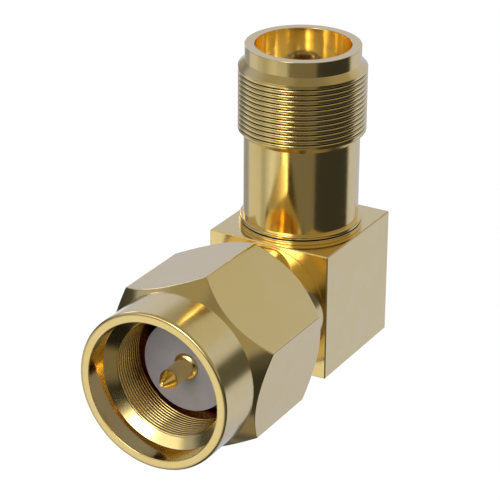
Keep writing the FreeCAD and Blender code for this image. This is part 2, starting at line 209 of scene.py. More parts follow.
class AdapterFinish(bpy.types.PropertyGroup):
    """Colours and polish."""

    gold: colour("Gold", "Colour of the gold plate", (0.98, 0.745, 0.29))
    worn: colour("Burnished gold", "Colour of the plate where it has been handled", (0.982, 0.76, 0.32))
    # Bored plate and counterbore are painted light: paler gold that stands in for the light that the mouths'
    # many reflections show.
    bored: colour("Bored plate", "Colour of the plate in the jack's mouth", (1.0, 0.86, 0.5))
    counterbore: colour("Counterbore", "Colour of the plate in the nut's mouth", (0.9, 0.75, 0.37))
    dielectric: colour("Dielectric", "Colour of the insulators", (0.4, 0.375, 0.38))
    rubber: colour("Gasket", "Colour of the gasket", (0.12, 0.006, 0.009))
    polish: factor("Polish", "Roughness of the plate where it shines most", 0.13)
    edge_polish: factor("Edge polish", "Roughness of the plate on the cube's broken edges", 0.5)
    bore_polish: factor("Bore polish", "Roughness of the plate in the two bored mouths", 0.11)
    # Painted shade: the share of its colour that the plate keeps in a groove darkens the grooves in place of
    # their shade.
    groove_shade: factor("Groove shade", "Share of its colour that the plate keeps in a groove", 0.12)


class AdapterStudio(bpy.types.PropertyGroup):
    """Camera, floor and light."""

    azimuth: angle("Azimuth", "Angle of the camera to the right of the plug's axis", 29.8392)
    elevation: angle("Elevation", "Angle of the camera above the horizon", 24.5566)
    roll: angle("Roll", "Turn of the picture", 0.3637)
    distance: length("Distance", "Distance of the camera from the point that it looks at", 108.2321 * MM)
    look_left: length("Look left", "How far the camera looks to the left of the jack", 2.849 * MM)
    look_up: length("Look up", "Height of the point that the camera looks at", 4.2152 * MM)
    lens: FloatProperty(
        name="Lens",
        description="Focal length of the camera in millimetres",
        default=155.0903,
        min=1.0,
    )
    light: FloatProperty(
        name="Light",
        description="Strength of the studio light",
        default=1.0,
        min=0.0,
    )
    floor: colour("Floor", "Colour of the floor", (1.0, 1.0, 1.0))
    sides: IntProperty(
        name="Sides",
        description="Number of faces round a turned piece",
        default=240,
        min=24,
        max=360,
    )


# Meshes


def up(radius, station, turn):
    """A point of the jack's leg."""
    return (radius * math.cos(turn), radius * math.sin(turn), CROSSING + station)


def forward(radius, station, turn):
    """A point of the plug's leg, its turn counted from the top towards +X."""
    return (radius * math.sin(turn), -station, CROSSING + radius * math.cos(turn))


def backward(radius, station, turn):
    """A point of the short leg behind the crossing."""
    return (radius * math.sin(turn), station, CROSSING + radius * math.cos(turn))


def eased(corners, size, steps=4):
    """The closed outline with its corners rounded. A corner may bring a size of its own.

    A short straight on either side of a rounding keeps the smooth shading of the long faces flat.
    """
    most_of_side = 0.45
    straight_past = 1.6
    points = []
    count = len(corners)
    for here in range(count):
        before = Vector(corners[here - 1][:2])
        at = Vector(corners[here][:2])
        after = Vector(corners[(here + 1) % count][:2])
        own = corners[here][2] if len(corners[here]) > 2 else size
        if own == 0:
            points.append(tuple(at))
            continue
        side_before = (before - at).length
        side_after = (after - at).length
        reach = min(own, most_of_side * side_before, most_of_side * side_after)
        back = (before - at).normalized()
        ahead = (after - at).normalized()
        points.append(tuple(at + back * min(straight_past * reach, side_before / 2)))
        for step in range(steps + 1):
            part = step / steps
            points.append(tuple(at + back * reach * (1 - part) ** 2 + ahead * reach * part ** 2))
        points.append(tuple(at + ahead * min(straight_past * reach, side_after / 2)))
    return points


def even_turns(sides):
    """Equal steps round a full turn, with the first angle given again at the end."""
    return [FULL_TURN * side / sides for side in range(sides + 1)]


def spun(name, outline_at, place, turns):
    """A closed mesh from an outline that may change with the angle it has turned."""
    weld = 0.0001 * MM
    points = []
    for turn in turns:
        outline = outline_at(turn)
        points.extend(place(radius, station, turn) for radius, station in outline)
    rows = len(outline)
    faces = []
    for column in range(len(turns) - 1):
        here = column * rows
        there = here + rows
        for row in range(rows):
            after = (row + 1) % rows
            faces.append((here + row, here + after, there + after, there + row))
    mesh = bpy.data.meshes.new(name)
    mesh.from_pydata(points, [], faces)
    shell = bmesh.new()
    shell.from_mesh(mesh)
    bmesh.ops.remove_doubles(shell, verts=shell.verts, dist=weld)
    bmesh.ops.dissolve_degenerate(shell, edges=shell.edges, dist=weld)
    bmesh.ops.recalc_face_normals(shell, faces=shell.faces)
    shell.to_mesh(mesh)
    shell.free()
    return mesh


def piece(mesh, material, body, node):
    """The mesh as a piece that stands for its CAD node, with its smooth faces kept apart by sharp edges."""
    made = bpy.data.objects.new(mesh.name, mesh)
    bpy.context.scene.collection.objects.link(made)
    mesh.polygons.foreach_set("use_smooth", [True] * len(mesh.polygons))
    mesh.set_sharp_from_angle(angle=SHARP_ANGLE)
    mesh.materials.append(material)
    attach(made, body)
    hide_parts(node)
    return made


def dress(name, material):
    """Give a CAD node that stays its finish."""
    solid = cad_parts[name]
    if not solid.material_slots:
        raise RuntimeError(f"{name} has no material slot")
    for place in solid.material_slots:
        place.material = material


# Half a ridge of a fine thread, from the groove to the crest: shares of the pitch across it, each
# with its share of the groove's depth. The crest is wide and flat, the groove narrow and sharp.
FLANK = ((0.0, 1.0), (0.05, 0.6), (0.11, 0.3), (0.18, 0.1), (0.26, 0.02), (0.5, 0.0))


def thread_points(start, end, crest, groove, pitch, turn, hand):
    """The section of a fine thread at this angle, running out over half a pitch at both ends.

    A positive groove cuts inwards, a negative one outwards. The hand says which way it climbs.
    """
    turned = hand * turn / FULL_TURN
    first = -1 if hand > 0 else 0
    count = math.ceil((end - start) / pitch) + 2
    section = FLANK + tuple((1 - across, down) for across, down in FLANK[-2:0:-1])
    points = []
    for ridge in range(first, first + count + 1):
        for across, down in section:
            station = start + pitch * (ridge + across + turned)
            station = min(max(station, start), end)
            run_out = min((station - start) / (pitch / 2), (end - station) / (pitch / 2), 1)
            points.append((crest - groove * run_out * down, station))
    return points


# Materials


def link(tree, source, target):
    """Join two sockets."""
    tree.links.new(source, target)


def node(tree, kind, **settings):
    """A node with its own settings made."""
    made = tree.nodes.new(kind)
    for name, value in settings.items():
        setattr(made, name, value)
    return made


def fill(tree, socket, value):
    """Link a socket to the value, or set it where the value is a plain number or colour."""
    if isinstance(value, bpy.types.NodeSocket):
        link(tree, value, socket)
    else:
        socket.default_value = value


def reckoned(tree, operation, *values):
    """The result of a piece of arithmetic."""
    made = node(tree, "ShaderNodeMath", operation=operation)
    for socket, value in zip(made.inputs, values):
        fill(tree, socket, value)
    return made.outputs[0]


def mixed(tree, share, one, other, **settings):
    """From one to the other as the share grows."""
    made = node(tree, "ShaderNodeMix", **settings)
    fill(tree, made.inputs["Factor"], share)
    fill(tree, made.inputs["A"], one)
    fill(tree, made.inputs["B"], other)
    return made.outputs["Result"]


def material_named(name):
    """A new material, its node tree and its shader."""
    made = bpy.data.materials.new(name)
    made.use_nodes = True
    return made, made.node_tree, made.node_tree.nodes["Principled BSDF"]


def ring_place(tree, leg):
    """Coordinates that are the same all round a leg, so a texture on them is made of rings."""
    place = node(tree, "ShaderNodeTexCoord")
    centred = node(tree, "ShaderNodeVectorMath", operation="SUBTRACT")
    centred.inputs[1].default_value = (0, 0, CROSSING)
    link(tree, place.outputs["Object"], centred.inputs[0])
    flat = node(tree, "ShaderNodeVectorMath", operation="MULTIPLY")
    flat.inputs[1].default_value = (1, 1, 0) if leg == "jack" else (1, 0, 1)
    link(tree, centred.outputs[0], flat.inputs[0])
    across = node(tree, "ShaderNodeVectorMath", operation="LENGTH")
    link(tree, flat.outputs[0], across.inputs[0])
    along = node(tree, "ShaderNodeSeparateXYZ")
    link(tree, centred.outputs[0], along.inputs[0])
    both = node(tree, "ShaderNodeCombineXYZ")
    link(tree, across.outputs["Value"], both.inputs["X"])
    link(tree, along.outputs["Z" if leg == "jack" else "Y"], both.inputs["Y"])
    return both.outputs[0]


def object_place(tree):
    """Plain object coordinates."""
    return node(tree, "ShaderNodeTexCoord").outputs["Object"]


def grain(tree, place, size, detail=2.0, stretch=None):
    """A noise whose lumps are about size across, stretched along the axes where asked."""
    if stretch:
        pulled = node(tree, "ShaderNodeVectorMath", operation="MULTIPLY")
        pulled.inputs[1].default_value = stretch
        link(tree, place, pulled.inputs[0])
        place = pulled.outputs[0]
    noise = node(tree, "ShaderNodeTexNoise")
    noise.inputs["Scale"].default_value = 1 / size
    noise.inputs["Detail"].default_value = detail
    link(tree, place, noise.inputs["Vector"])
    return noise.outputs["Fac"]


def spread(tree, value, low, high, floor=0.3, ceiling=0.7, **settings):
    """The value's range from floor to ceiling, at first a noise's usual one, spread from low to high."""
    ranged = node(tree, "ShaderNodeMapRange", **settings)
    ranged.inputs["From Min"].default_value = floor
    ranged.inputs["From Max"].default_value = ceiling
    ranged.inputs["To Min"].default_value = low
    ranged.inputs["To Max"].default_value = high
    link(tree, value, ranged.inputs["Value"])
    return ranged.outputs["Result"]


def tinted(tree, value, one, other):
    """A colour that goes from one to the other as the value grows."""
    return mixed(tree, value, (*one, 1), (*other, 1), data_type="RGBA")


def raised(tree, value, height, under=None):
    """The normal of a bump of that height, on top of another one where there is one."""
    bump = node(tree, "ShaderNodeBump")
    bump.inputs["Strength"].default_value = 1.0
    bump.inputs["Distance"].default_value = height
    link(tree, value, bump.inputs["Height"])
    if under:
        link(tree, under, bump.inputs["Normal"])
    return bump.outputs["Normal"]


def near(tree, value, centre, reach, edge):
    """1 where the value lies within reach of the centre, fading to 0 over the edge."""
    away = reckoned(tree, "ABSOLUTE", reckoned(tree, "SUBTRACT", value, centre))
    return spread(tree, away, low=1, high=0, floor=reach, ceiling=reach + edge)


# How far a zone of a material fades out, and how far it stays off the corners beside it
ZONE_EDGE = 0.02 * MM
# Share of a groove's depth, from its floor up, that gets painted shade
GROOVE_SHARE = 0.55


def ring_zone(tree, leg, radius, reach, start, end):
    """1 on the surfaces of a leg that lie near a radius between two stations."""
    across = node(tree, "ShaderNodeSeparateXYZ")
    link(tree, ring_place(tree, leg), across.inputs[0])
    side = 1 if leg == "jack" else -1
    middle = side * (start + end) / 2
    half = (end - start) / 2
    at_radius = near(tree, across.outputs["X"], radius, reach, ZONE_EDGE)
    at_station = near(tree, across.outputs["Y"], middle, half, ZONE_EDGE)
    return reckoned(tree, "MULTIPLY", at_radius, at_station)


def shaded(tree, colour_socket, zone, share):
    """The colour, darkened to its share in a zone: painted shade."""
    grey = (share, share, share, 1)
    return mixed(tree, zone, colour_socket, grey, data_type="RGBA", blend_type="MULTIPLY")


def repainted(tree, colour_socket, zone, paint):
    """The colour, changed for another one in a zone: the painted light of the bored mouths."""
    return mixed(tree, zone, colour_socket, (*paint, 1), data_type="RGBA")


def either(tree, one, other):
    """The larger of two zones."""
    return reckoned(tree, "MAXIMUM", one, other)


def duller(tree, roughness, zone, rough):
    """The roughness, changed for another one in a zone."""
    return mixed(tree, zone, roughness, rough, data_type="FLOAT")


def edge_zone(tree):
    """1 on broken edges, whose faces look along none of the object's own axes."""
    facing = node(tree, "ShaderNodeTexCoord").outputs["Normal"]
    unsigned = node(tree, "ShaderNodeVectorMath", operation="ABSOLUTE")
    link(tree, facing, unsigned.inputs[0])
    parts = node(tree, "ShaderNodeSeparateXYZ")
    link(tree, unsigned.outputs[0], parts.inputs[0])
    most = either(tree, either(tree, parts.outputs["X"], parts.outputs["Y"]), parts.outputs["Z"])
    return spread(tree, most, low=1, high=0, floor=0.8, ceiling=0.95)


def gold_plate(name, finish, marks, mark_height, leg=None):
    """Polished gold plate: tool marks, a faint mottle from the plating bath and handled patches.

    On a leg, the thread's grooves get painted shade, and the bored mouth gets painted light as a paler gold
    and a polish of its own.
    The cube has no leg, and its broken edges are duller than its faces.
    """
    made, tree, shader = material_named(name)
    place = object_place(tree)
    tool = marks(tree)
    shader.inputs["Metallic"].default_value = 1.0
    handled = spread(tree, grain(tree, place, size=1.6 * MM), low=0, high=1, floor=0.45, ceiling=0.7)
    plate = tinted(tree, handled, finish.gold, finish.worn)
    mottle = grain(tree, place, size=0.35 * MM, detail=4.0)
    mottled = 0.05
    polish = spread(tree, mottle, low=finish.polish, high=finish.polish + mottled)
    if leg:
        grooves, bored = jack_zones(tree) if leg == "jack" else nut_zones(tree)
        paint = finish.bored if leg == "jack" else finish.counterbore
        # Painted shade: the grooves are darkened.
        plate = shaded(tree, plate, grooves, finish.groove_shade)
        # Painted light: the bored mouth gets a paler gold.
        plate = repainted(tree, plate, bored, paint)
        polish = duller(tree, polish, bored, finish.bore_polish)
    else:
        polish = duller(tree, polish, edge_zone(tree), finish.edge_polish)
    link(tree, plate, shader.inputs["Base Color"])
    link(tree, polish, shader.inputs["Roughness"])
    bath = raised(tree, grain(tree, place, size=0.5 * MM, detail=1.0), height=0.0006 * MM)
    link(tree, raised(tree, tool, mark_height, under=bath), shader.inputs["Normal"])
    return made


def jack_zones(tree):
    """Where the jack gets painted shade, in its thread's grooves and the one between its beads, and its
    bored mouth, which gets painted light.
    """
    jack = bpy.context.scene.adapter_jack
    foot = jack.neck_top + jack.thread - jack.neck
    thread_top = jack.top - jack.lip_tall - jack.thread + jack.lip
    floor = jack.top - jack.mouth_deep
    # Painted shade in the thread's grooves
    cuts = ring_zone(
        tree,
        "jack",
        radius=jack.thread - jack.groove,
        reach=GROOVE_SHARE * jack.groove,
        start=foot + 2 * ZONE_EDGE,
        end=thread_top - 2 * ZONE_EDGE,
    )
    split = bpy.context.scene.adapter_core.side / 2 + jack.bead_tall
    # Painted shade in the split between the beads
    bead_split_shade = ring_zone(
        tree,
        "jack",
        radius=jack.neck + 0.1 * MM,
        reach=0.06 * MM,
        start=split - ZONE_EDGE,
        end=split + BEADS_APART + ZONE_EDGE,
    )
    # Painted light and the mouth's own polish go on this zone
    bored = ring_zone(
        tree,
        "jack",
        radius=jack.mouth,
        reach=ZONE_EDGE,
        start=floor,
        end=jack.top - 2 * ZONE_EDGE,
    )
    return either(tree, cuts, bead_split_shade), bored


def nut_zones(tree):
    """Where the nut gets painted shade, in its thread's grooves, and its counterbore, which gets painted
    light.
    """
    nut = bpy.context.scene.adapter_nut
    lead_end = nut.front - nut.mouth_deep
    # Painted shade in the thread's grooves
    cuts = ring_zone(
        tree,
        "plug",
        radius=nut.thread + nut.groove,
        reach=GROOVE_SHARE * nut.groove,
        start=nut.thread_start,
        end=lead_end - nut.lead,
    )
    # Painted light and the counterbore's own polish go on this zone
    bored = ring_zone(
        tree,
        "plug",
        radius=nut.mouth,
        reach=ZONE_EDGE,
        start=lead_end,
        end=nut.front - 2 * ZONE_EDGE,
    )
    return cuts, bored


def turned_gold(finish, leg):
    """Gold plate over the fine rings that a lathe tool leaves."""
    def rings(tree):
        return grain(tree, ring_place(tree, leg), size=0.05 * MM, detail=3.0)

    return gold_plate(f"turned_gold_{leg}", finish, rings, mark_height=0.00016 * MM, leg=leg)


def lapped_gold(finish):
    """Gold plate over the straight grain of the cube's lapped faces."""
    def strokes(tree):
        return grain(tree, object_place(tree), size=0.06 * MM, detail=3.0, stretch=(1, 0.05, 1))

    return gold_plate("lapped_gold", finish, strokes, mark_height=0.00012 * MM)


def dielectric(finish, leg):
    """Turned fluoropolymer: waxy, with faint tool rings and a soft mottle."""
    made, tree, shader = material_named(f"dielectric_{leg}")
    place = object_place(tree)
    paler = 1.12
    pale = [min(1.0, part * paler) for part in finish.dielectric]
    mottle = spread(tree, grain(tree, place, size=0.8 * MM, detail=4.0), low=0, high=1)
    rough = spread(tree, grain(tree, place, size=0.2 * MM), low=0.42, high=0.56)
    rings = grain(tree, ring_place(tree, leg), size=0.09 * MM, detail=2.0)
    link(tree, tinted(tree, mottle, finish.dielectric, pale), shader.inputs["Base Color"])
    link(tree, rough, shader.inputs["Roughness"])
    link(tree, raised(tree, rings, height=0.0012 * MM), shader.inputs["Normal"])
    shader.inputs["Subsurface Weight"].default_value = 0.15
    shader.inputs["Subsurface Scale"].default_value = 0.3 * MM
    return made


def silicone(finish):
    """Moulded red silicone: smooth, with a fine skin."""
    made, tree, shader = material_named("silicone")
    place = object_place(tree)
    darker = 0.7
    dark = [part * darker for part in finish.rubber]
    patches = spread(tree, grain(tree, place, size=0.6 * MM), low=0, high=1)
    rough = spread(tree, grain(tree, place, size=0.1 * MM), low=0.2, high=0.32)
    skin = grain(tree, place, size=0.08 * MM, detail=3.0)
    link(tree, tinted(tree, patches, finish.rubber, dark), shader.inputs["Base Color"])
    link(tree, rough, shader.inputs["Roughness"])
    link(tree, raised(tree, skin, height=0.002 * MM), shader.inputs["Normal"])
    return made


def finish_of(build, *details):
    """The material that a build function makes, made once."""
    name = build.__name__ + "".join(f"_{detail}" for detail in details)
    found = bpy.data.materials.get(name)
    return found or build(bpy.context.scene.adapter_finish, *details)


# Pieces


def barrel_outline(core, jack, turn):
    """The barrel's section: spigot, two beads, neck, thread, lip and mouth."""
    face = core.side / 2
    round_bead = 0.09 * MM
    lip_edge = 0.02 * MM
    mouth_edge = 0.025 * MM
    split = face + jack.bead_tall
    split_end = split + BEADS_APART
    beads_top = split_end + jack.bead_tall
    split_floor = jack.neck + 0.08 * MM
    top_bead = jack.bead - 0.03 * MM
    thread_foot = jack.neck_top + (jack.thread - jack.neck)
    lip_foot = jack.top - jack.lip_tall
    thread_top = lip_foot - (jack.thread - jack.lip)
    floor = jack.top - jack.mouth_deep
    lower = eased([
        (core.line, core.seat, 0),
        (core.spigot, core.seat),
        (core.spigot, face, 0),
        (jack.bead, face),
        (jack.bead, split, round_bead),
        (split_floor, split, 0),
        (split_floor, split_end, 0),
        (top_bead, split_end, round_bead),
        (top_bead, beads_top, round_bead),
        (jack.neck, beads_top, 0),
        (jack.neck, jack.neck_top, 0),
        (jack.thread, thread_foot, 0),
    ], core.ease)
    thread = thread_points(thread_foot, thread_top, jack.thread, jack.groove, jack.pitch, turn, hand=1)
    upper = eased([
        (jack.thread, thread_top, 0),
        (jack.lip, lip_foot, 0),
        (jack.lip, jack.top, lip_edge),
        (jack.mouth, jack.top, mouth_edge),
        (jack.mouth, floor),
        (jack.web, floor),
        (jack.web, floor - jack.web_thick, 0),
        (core.line, floor - jack.web_thick, 0),
        (core.line, core.seat, 0),
    ], core.ease)
    return lower + thread + upper[:-1]


def shell_corners(core, plug):
    """The section of the plug's shell: spigot, collar, journal with its groove, and sleeve."""
    face = core.side / 2
    collar_edge = 0.08 * MM
    sleeve_edge = 0.02 * MM
    ring_end = plug.ring_start + plug.ring_long
    head_start = plug.face - plug.head_long
    sleeve_end = plug.face - plug.flange_thick
    return [
        (core.line, core.seat, 0),
        (core.spigot, core.seat),
        (core.spigot, face, 0),
        (plug.collar, face),
        (plug.collar, plug.collar_end, collar_edge),
        (plug.journal, plug.collar_end, 0),
        (plug.journal, plug.ring_start),
        (plug.ring_floor, plug.ring_start, 0),
        (plug.ring_floor, ring_end, 0),
        (plug.journal, ring_end),
        (plug.journal, plug.journal_end),
        (plug.sleeve, plug.journal_end, 0),
        (plug.sleeve, sleeve_end, sleeve_edge),
        (plug.head + core.press, sleeve_end, 0),
        (plug.head + core.press, head_start, 0),
        (core.line, head_start),
    ]


def pin_corners(core, plug):
    """The section of the plug's contact: tail, rod, shoulder, pin and blunt cone."""
    axis = 0.0
    tail = 0.3 * MM
    tail_end = -0.75 * MM
    rod_start = 0.8 * MM
    shoulder = plug.face + 0.05 * MM
    pin_foot = shoulder + 0.1 * MM
    shoulder_edge = 0.05 * MM
    foot_edge = 0.03 * MM
    tip_edge = 0.05 * MM
    return [
        (axis, tail_end, 0),
        (tail, tail_end),
        (tail, rod_start, 0),
        (core.contact, rod_start),
        (core.contact, shoulder, shoulder_edge),
        (plug.pin, pin_foot, foot_edge),
        (plug.pin, plug.pin_end - plug.cone),
        (plug.tip, plug.pin_end, tip_edge),
        (axis, plug.pin_end, 0),
    ]


def hex_radius(nut, turn):
    """How far the hex reaches at this angle, with its corners rounded."""
    sixth = FULL_TURN / 6
    from_flat = (turn - nut.phase) % sixth - sixth / 2
    from_corner = sixth / 2 - abs(from_flat)
    point = nut.flats / 2 / math.cos(sixth / 2)
    centre = point - nut.corner / math.cos(sixth / 2)
    tangent = math.atan2(nut.corner / 2, centre + nut.corner * math.cos(sixth / 2))
    if from_corner > tangent:
        return nut.flats / 2 / math.cos(from_flat)
    sideways = centre * math.sin(from_corner)
    return centre * math.cos(from_corner) + math.sqrt(nut.corner ** 2 - sideways ** 2)


def nut_turns(nut):
    """Angles round the nut, closest together over the six rounded corners."""
    sixth = FULL_TURN / 6
    over_corner = math.radians(0.37)
    flat = sixth - 2 * over_corner
    flat_steps = 40
    turns = []
    for corner in range(6):
        middle = nut.phase + corner * sixth
        turns.extend(middle + over_corner * part for part in (-1, -0.5, 0, 0.5))
        turns.extend(middle + over_corner + flat * step / flat_steps for step in range(flat_steps))
    return turns + [turns[0] + FULL_TURN]


def nut_outline(plug, nut, ease, turn):
    """The nut's section: hex with a cone at each end, nose, counterbore, lead-in, thread and bore."""
    outside = eased(nut_outside(nut, turn), ease)
    inside = eased(nut_inside(plug, nut), ease)
    return outside + nut_thread(nut, turn)[::-1] + inside


def nut_outside(nut, turn):
    """From the rear bore over the hex and the nose into the counterbore.

    A cone's slope is how far it goes along the nut for each step of radius.
    """
    hex_here = hex_radius(nut, turn)
    rear_edge = nut.flats / 2 - 0.132 * MM
    rear_slope = 1.157
    front_slope = 1.265
    cone_edge = 0.05 * MM
    nose_foot = 0.03 * MM
    nose_edge = 0.12 * MM
    mouth_edge = 0.05 * MM
    nose_start = nut.front - nut.nose_long
    return [
        (nut.bore, nut.rear),
        (rear_edge, nut.rear),
        (hex_here, nut.rear + rear_slope * (hex_here - rear_edge), cone_edge),
        (hex_here, nose_start - front_slope * (hex_here - nut.nose), cone_edge),
        (nut.nose, nose_start, nose_foot),
        (nut.nose, nut.front, nose_edge),
        (nut.mouth, nut.front, mouth_edge),
        (nut.mouth, nut.front - nut.mouth_deep, 0),
    ]


def nut_thread(nut, turn):
    """The thread, deep end first, cut off by the cone that leads into it."""
    lead_end = nut.front - nut.mouth_deep
    slope = (nut.mouth - nut.thread) / nut.lead
    start = nut.thread_start
    straight = thread_points(start, lead_end, nut.thread, -nut.groove, nut.pitch, turn, hand=-1)
    return [(max(radius, nut.mouth - slope * (lead_end - station)), station) for radius, station in straight]


def nut_inside(plug, nut):
    """From the deep end of the thread back over the relief to the groove of the snap ring."""
    relief_cone = 0.3 * MM
    ring_floor = nut.bore + 0.31 * MM
    ring_end = plug.ring_start + plug.ring_long
    return [
        (nut.thread, nut.thread_start, 0),
        (nut.relief, nut.thread_start - relief_cone, 0),
        (nut.relief, nut.wall_end, 0),
        (nut.bore, nut.wall_end),
        (nut.bore, ring_end),
        (ring_floor, ring_end, 0),
        (ring_floor, plug.ring_start, 0),
        (nut.bore, plug.ring_start),
    ]


def gasket_corners(plug, nut):
    """The gasket's section, between the sleeve and the nut."""
    sleeve_gap = 0.03 * MM
    nut_gap = 0.1 * MM
    inner = plug.sleeve + sleeve_gap
    outer = nut.relief - nut_gap
    end = plug.journal_end + plug.seal
    return [(inner, plug.journal_end), (outer, plug.journal_end), (outer, end), (inner, end)]


# How far past the other leg's bore both rods start, and the wide rounding of that end
ROD_BACK = 0.05 * MM
ROD_LEAD = 0.1 * MM


def jack_rod_corners(core, jack):
    """The section of the dielectric rod in the jack, with a neck through the mouth's floor."""
    hole = core.contact + core.press
    rod = core.line - core.press
    start = core.line + ROD_BACK
    floor = jack.top - jack.mouth_deep
    back = floor - jack.web_thick
    neck = jack.web - core.press
    return [
        (hole, start, 0),
        (rod, start, ROD_LEAD),
        (rod, back, 0),
        (neck, back, 0),
        (neck, floor),
        (hole, floor),
    ]


def plug_rod_corners(core, plug):
    """The section of the dielectric rod in the plug, with its head and thin flange."""
    hole = core.contact + core.press
    rod = core.line - core.press
    start = core.line + ROD_BACK
    head_start = plug.face - plug.head_long
    flange_start = plug.face - plug.flange_thick
    return [
        (hole, start, 0),
        (rod, start, ROD_LEAD),
        (rod, head_start, 0),
        (plug.head, head_start, 0),
        (plug.head, flange_start, 0),
        (plug.flange, flange_start, 0),
        (plug.flange, plug.face),
        (hole, plug.face),
    ]


def cap_corners(core):
    """The section of the round cap in the cube's back."""
    axis = 0.0
    thick = 0.6 * MM
    edge = 0.09 * MM
    face = core.side / 2
    return [(axis, face - thick, 0), (core.spigot, face - thick), (core.spigot, face, edge), (axis, face, 0)]


class AdapterPiece:
    """What the operators share: their undo options and a plain turned mesh."""

    bl_options = {"REGISTER", "UNDO"}

    def turned(self, context, name, corners, place, ease):
        """A mesh whose section is the same all round."""
        rounded = eased(corners, ease)
        turns = even_turns(context.scene.adapter_studio.sides)
        return spun(name, lambda turn: rounded, place, turns)


class ADAPTER_OT_block(AdapterPiece, bpy.types.Operator):
    """Give the cube its lapped gold plate"""

    bl_idname = "adapter.block"
    bl_label = "Cube"

    def execute(self, context):
        dress("body_block", finish_of(lapped_gold))
        return {"FINISHED"}


class ADAPTER_OT_jack_barrel(AdapterPiece, bpy.types.Operator):
    """Turn the jack's barrel with its thread, neck and beads"""

    bl_idname = "adapter.jack_barrel"
    bl_label = "Jack barrel"

    def execute(self, context):
        core = context.scene.adapter_core
        jack = context.scene.adapter_jack
        turns = even_turns(context.scene.adapter_studio.sides)
        mesh = spun("barrel", lambda turn: barrel_outline(core, jack, turn), up, turns)
        piece(mesh, finish_of(turned_gold, "jack"), "adapter_body", "jack_barrel")
        return {"FINISHED"}


class ADAPTER_OT_plug_shell(AdapterPiece, bpy.types.Operator):
    """Turn the plug's shell with its collar, journal and sleeve"""

    bl_idname = "adapter.plug_shell"
    bl_label = "Plug shell"

    def execute(self, context):
        core = context.scene.adapter_core
        corners = shell_corners(core, context.scene.adapter_plug)
        mesh = self.turned(context, "shell", corners, forward, core.ease)
        piece(mesh, finish_of(turned_gold, "plug"), "adapter_body", "plug_shell")
        return {"FINISHED"}


class ADAPTER_OT_coupling_nut(AdapterPiece, bpy.types.Operator):
    """Cut the hex coupling nut with its nose, counterbore and thread"""

    bl_idname = "adapter.coupling_nut"
    bl_label = "Coupling nut"

    def execute(self, context):
        plug = context.scene.adapter_plug
        nut = context.scene.adapter_nut
        ease = context.scene.adapter_core.ease
        mesh = spun("nut", lambda turn: nut_outline(plug, nut, ease, turn), forward, nut_turns(nut))
        piece(mesh, finish_of(turned_gold, "plug"), "nut", "coupling_nut")
        return {"FINISHED"}


class ADAPTER_OT_contacts(AdapterPiece, bpy.types.Operator):
    """Turn the plug's pin and plate the jack's socket"""

    bl_idname = "adapter.contacts"
    bl_label = "Centre contacts"

    def execute(self, context):
        core = context.scene.adapter_core
        corners = pin_corners(core, context.scene.adapter_plug)
        mesh = self.turned(context, "pin", corners, forward, core.ease)
        piece(mesh, finish_of(turned_gold, "plug"), "adapter_body", "plug_contact")
        dress("jack_contact", finish_of(turned_gold, "jack"))
        return {"FINISHED"}


class ADAPTER_OT_insulators(AdapterPiece, bpy.types.Operator):
    """Turn the dielectric rods of both legs and dress the one behind the crossing"""

    bl_idname = "adapter.insulators"
    bl_label = "Insulators"

    def execute(self, context):
        core = context.scene.adapter_core
        edge = 0.02 * MM
        jack_rod = jack_rod_corners(core, context.scene.adapter_jack)
        mesh = self.turned(context, "jack_rod", jack_rod, up, edge)
        piece(mesh, finish_of(dielectric, "jack"), "adapter_body", "jack_insulator")
        plug_rod = plug_rod_corners(core, context.scene.adapter_plug)
        mesh = self.turned(context, "plug_rod", plug_rod, forward, edge)
        piece(mesh, finish_of(dielectric, "plug"), "adapter_body", "plug_insulator")
        dress("rear_insulator", finish_of(dielectric, "plug"))
        return {"FINISHED"}


class ADAPTER_OT_gasket(AdapterPiece, bpy.types.Operator):
    """Mould the red gasket behind the nut's thread"""

    bl_idname = "adapter.gasket"
    bl_label = "Gasket"

    def execute(self, context):
        corners = gasket_corners(context.scene.adapter_plug, context.scene.adapter_nut)
        moulded_edge = 0.12 * MM
        mesh = self.turned(context, "seal", corners, forward, moulded_edge)
        piece(mesh, finish_of(silicone), "adapter_body", "gasket")
        return {"FINISHED"}


class ADAPTER_OT_closures(AdapterPiece, bpy.types.Operator):
    """Turn the cap at the back of the cube and dress the snap ring in the nut"""

    bl_idname = "adapter.closures"
    bl_label = "Rear cap and snap ring"

    def execute(self, context):
        core = context.scene.adapter_core
        mesh = self.turned(context, "cap", cap_corners(core), backward, core.ease)
        piece(mesh, finish_of(turned_gold, "plug"), "adapter_body", "rear_cap")
        dress("snap_ring", finish_of(turned_gold, "plug"))
        return {"FINISHED"}


# Studio


def softbox(tree, sky, under, at, size, edge, strength, tint):
    """One soft panel laid over the sky that is there.

    It stands at an azimuth and an elevation, and its size is its width and height at half its
    light, all in degrees. Azimuth 0 is in front of the plug and 90 on the right.
    """
    def window(value, centre, wide):
        offset = reckoned(tree, "SUBTRACT", value, math.radians(centre))
        away = reckoned(tree, "ABSOLUTE", reckoned(tree, "WRAP", offset, math.pi, -math.pi))
        full = math.radians((wide - edge) / 2)
        gone = math.radians((wide + edge) / 2)
        return spread(tree, away, low=1, high=0, floor=full, ceiling=gone, interpolation_type="SMOOTHSTEP")

    both = reckoned(tree, "MULTIPLY", window(sky[0], at[0], size[0]), window(sky[1], at[1], size[1]))
    light = [strength * part for part in tint]
    return mixed(tree, both, under, (*light, 1), data_type="RGBA")


def sky_angles(tree):
    """The azimuth and elevation of the direction that a ray leaves in."""
    place = node(tree, "ShaderNodeTexCoord")
    parts = node(tree, "ShaderNodeSeparateXYZ")
    link(tree, place.outputs["Generated"], parts.inputs[0])
    front = reckoned(tree, "MULTIPLY", parts.outputs["Y"], -1)
    azimuth = reckoned(tree, "ARCTAN2", parts.outputs["X"], front)
    elevation = reckoned(tree, "ARCSINE", parts.outputs["Z"])
    return azimuth, elevation


